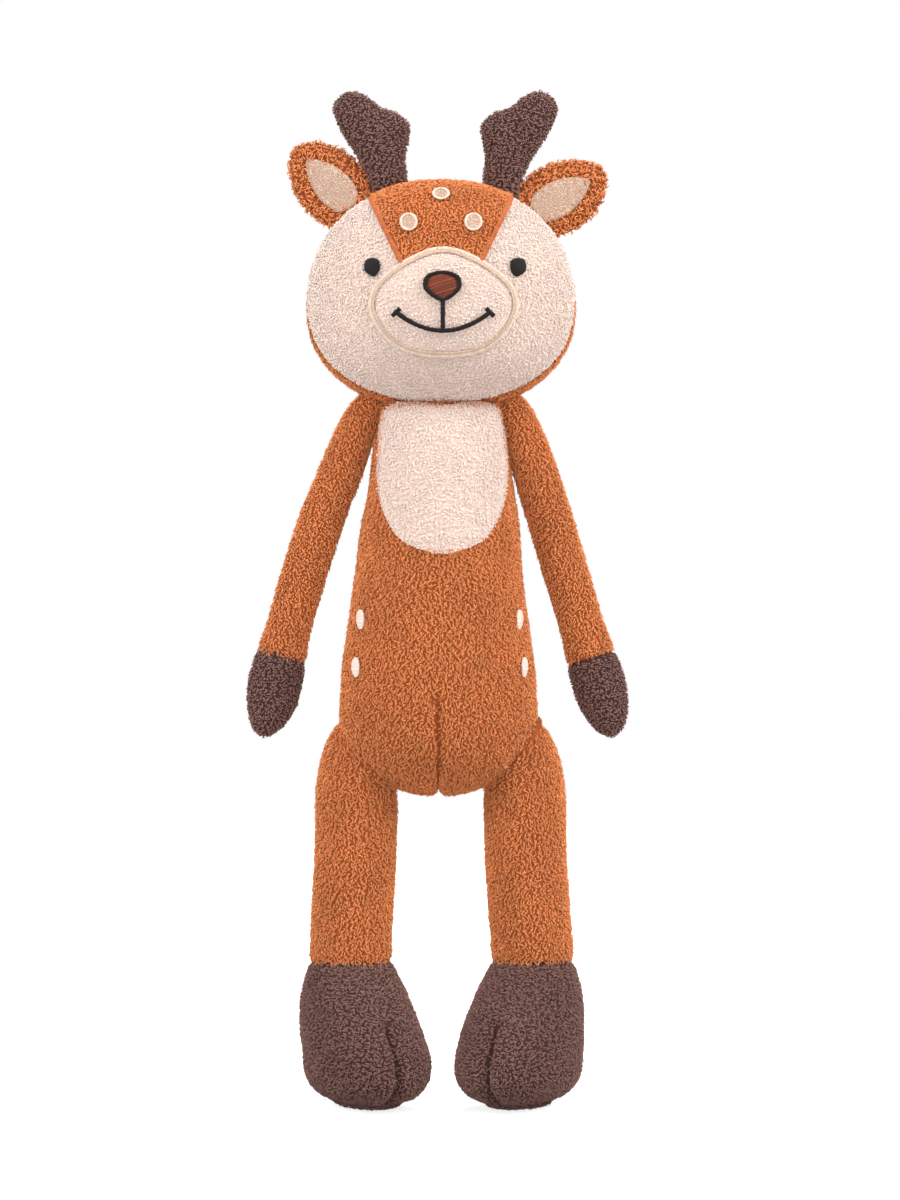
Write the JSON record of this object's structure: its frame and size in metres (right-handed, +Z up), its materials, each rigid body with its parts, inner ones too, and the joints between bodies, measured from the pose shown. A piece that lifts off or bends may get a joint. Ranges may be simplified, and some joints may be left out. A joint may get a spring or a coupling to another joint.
{
  "type": "plush deer",
  "caption": "Standing plush deer with long jointed arms and legs, soft antlers, embroidered face and a turning head.",
  "frame": {"origin": "on the floor, under the middle of the deer's bounding box", "axes": "+Z up, the deer faces -Y, +X is the deer's own left"},
  "size_m": [0.1518, 0.0806, 0.3945],
  "materials": {
    "rust_fleece": "short curly fleece pile",
    "cream_fleece": "short curly fleece pile",
    "brown_fleece": "short curly fleece pile",
    "stuffing_fibre": "loose polyester fibre",
    "pale_satin": "satin stitch with a soft shine",
    "beige_thread": "satin stitch",
    "white_thread": "satin stitch",
    "brown_satin": "satin stitch with a shine",
    "black_thread": "satin stitch",
    "orange_thread": "satin stitch"
  },
  "bodies": {
    "torso": {"torso_stuffing": "stuffing_fibre", "torso_front_panel": "rust_fleece", "torso_back_left_panel": "rust_fleece", "torso_back_right_panel": "rust_fleece", "chest_bib": "cream_fleece", "flank_spot_lower_left": "white_thread", "flank_spot_upper_left": "white_thread", "flank_spot_lower_right": "white_thread", "flank_spot_upper_right": "white_thread"},
    "neck": {"neck_stuffing": "stuffing_fibre"},
    "head": {"head_stuffing": "stuffing_fibre", "face_panel": "cream_fleece", "head_back_left_panel": "rust_fleece", "head_back_right_panel": "rust_fleece", "muzzle_patch": "cream_fleece", "muzzle_border": "beige_thread", "nose": "brown_satin", "nose_edging": "black_thread", "mouth": "black_thread", "forehead_patch": "rust_fleece", "forehead_edging_left": "orange_thread", "forehead_edging_right": "orange_thread", "eye_left": "black_thread", "eye_right": "black_thread", "forehead_spot_left": "white_thread", "forehead_spot_right": "white_thread", "forehead_spot_top": "white_thread", "antler_left": "brown_fleece", "antler_left_stuffing": "stuffing_fibre", "antler_right": "brown_fleece", "antler_right_stuffing": "stuffing_fibre"},
    "ear_left": {"ear_left_front": "rust_fleece", "ear_left_back": "rust_fleece", "ear_left_inlay": "pale_satin"},
    "ear_right": {"ear_right_front": "rust_fleece", "ear_right_back": "rust_fleece", "ear_right_inlay": "pale_satin"},
    "shoulder_left": {"shoulder_pad_left": "rust_fleece"},
    "arm_left": {"arm_left_sleeve": "rust_fleece", "arm_left_hoof": "brown_fleece", "arm_left_stuffing": "stuffing_fibre"},
    "shoulder_right": {"shoulder_pad_right": "rust_fleece"},
    "arm_right": {"arm_right_sleeve": "rust_fleece", "arm_right_hoof": "brown_fleece", "arm_right_stuffing": "stuffing_fibre"},
    "leg_left": {"leg_left_cover": "rust_fleece", "leg_left_stuffing": "stuffing_fibre", "hoof_left_outer_panel": "brown_fleece", "hoof_left_inner_panel": "brown_fleece", "hoof_left_sole": "brown_fleece", "hoof_left_stuffing": "stuffing_fibre"},
    "leg_right": {"leg_right_cover": "rust_fleece", "leg_right_stuffing": "stuffing_fibre", "hoof_right_outer_panel": "brown_fleece", "hoof_right_inner_panel": "brown_fleece", "hoof_right_sole": "brown_fleece", "hoof_right_stuffing": "stuffing_fibre"}
  },
  "joints": [
    {"name": "head_turn", "type": "hinge", "parent": "torso", "child": "neck", "pos_m": [0, 0.00187, 0.272], "axis": [0, 0, 1], "range_deg": [-35, 35]},
    {"name": "head_nod", "type": "hinge", "parent": "neck", "child": "head", "pos_m": [0, 0.00187, 0.272], "axis": [1, 0, 0], "range_deg": [-12, 12]},
    {"name": "ear_left_flap", "type": "hinge", "parent": "head", "child": "ear_left", "pos_m": [0.03989, 0.00187, 0.35056], "axis": [0.7458, 0, -0.6662], "range_deg": [-20, 25]},
    {"name": "ear_right_flap", "type": "hinge", "parent": "head", "child": "ear_right", "pos_m": [-0.03989, 0.00187, 0.35056], "axis": [0.7458, 0, 0.6662], "range_deg": [-20, 25]},
    {"name": "arm_left_swing", "type": "hinge", "parent": "torso", "child": "shoulder_left", "pos_m": [0.03459, 0.00187, 0.262], "axis": [-1, 0, 0], "range_deg": [-40, 90]},
    {"name": "arm_left_raise", "type": "hinge", "parent": "shoulder_left", "child": "arm_left", "pos_m": [0.03459, 0.00187, 0.262], "axis": [0, -1, 0], "range_deg": [-5, 65]},
    {"name": "arm_right_swing", "type": "hinge", "parent": "torso", "child": "shoulder_right", "pos_m": [-0.03459, 0.00187, 0.262], "axis": [-1, 0, 0], "range_deg": [-40, 90]},
    {"name": "arm_right_raise", "type": "hinge", "parent": "shoulder_right", "child": "arm_right", "pos_m": [-0.03459, 0.00187, 0.262], "axis": [0, 1, 0], "range_deg": [-5, 65]},
    {"name": "leg_left_swing", "type": "hinge", "parent": "torso", "child": "leg_left", "pos_m": [0, 0.00187, 0.1494], "axis": [-1, 0, 0], "range_deg": [-25, 90]},
    {"name": "leg_right_swing", "type": "hinge", "parent": "torso", "child": "leg_right", "pos_m": [0, 0.00187, 0.1494], "axis": [-1, 0, 0], "range_deg": [-25, 90]}
  ]
}
